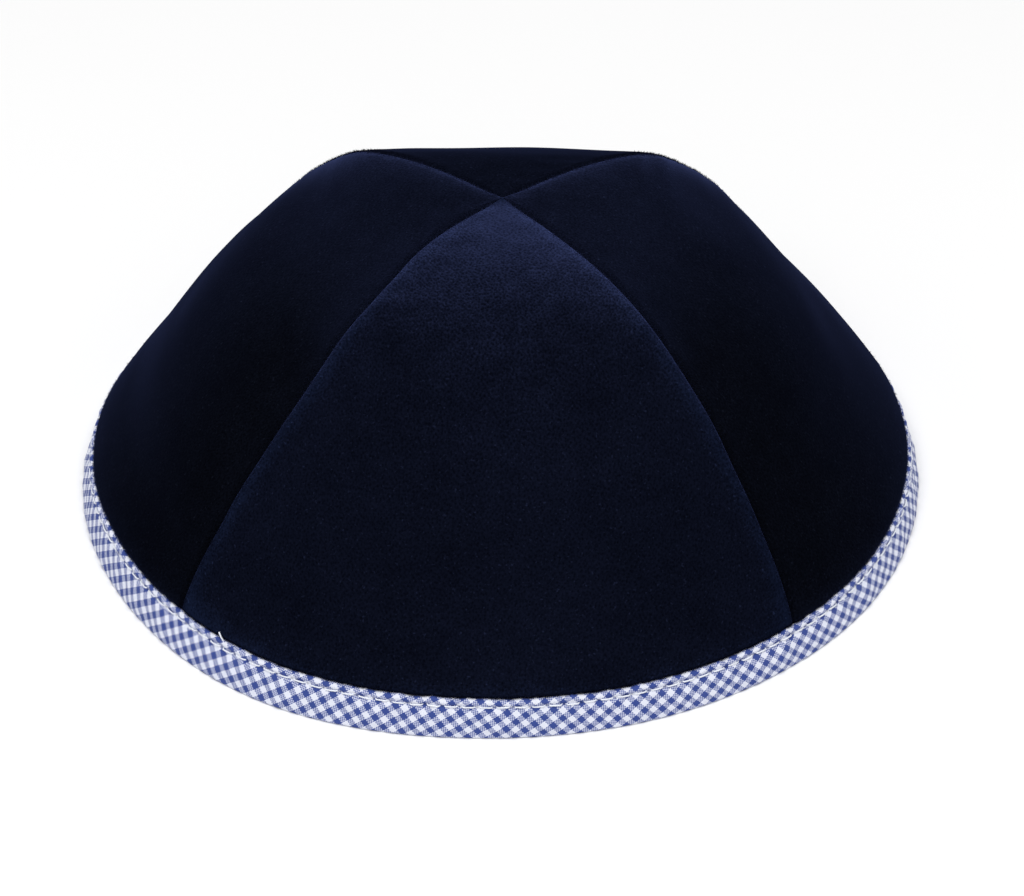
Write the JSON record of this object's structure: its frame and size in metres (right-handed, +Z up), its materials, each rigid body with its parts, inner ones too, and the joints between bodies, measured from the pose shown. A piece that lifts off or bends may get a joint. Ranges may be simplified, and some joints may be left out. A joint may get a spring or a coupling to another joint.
{
  "type": "kippah skullcap",
  "caption": "Velvet panel skullcap (kippah) with a gingham binding folded over its rim, open below, resting on its rim.",
  "frame": {"origin": "centre of the rim on the plane that the cap rests on", "axes": "+Z up through the top of the crown, -Y towards the front panel's middle, +X towards the right panel's middle"},
  "size_m": [0.1594, 0.1594, 0.0615],
  "materials": {
    "velvet": "dark navy cotton velvet with a short pile",
    "gingham": "blue and white yarn-dyed cotton gingham, cut on the bias",
    "thread": "white polyester sewing thread"
  },
  "bodies": {
    "root": {"panel_front": "velvet", "panel_right": "velvet", "panel_back": "velvet", "panel_left": "velvet", "binding": "gingham"}
  },
  "joints": []
}
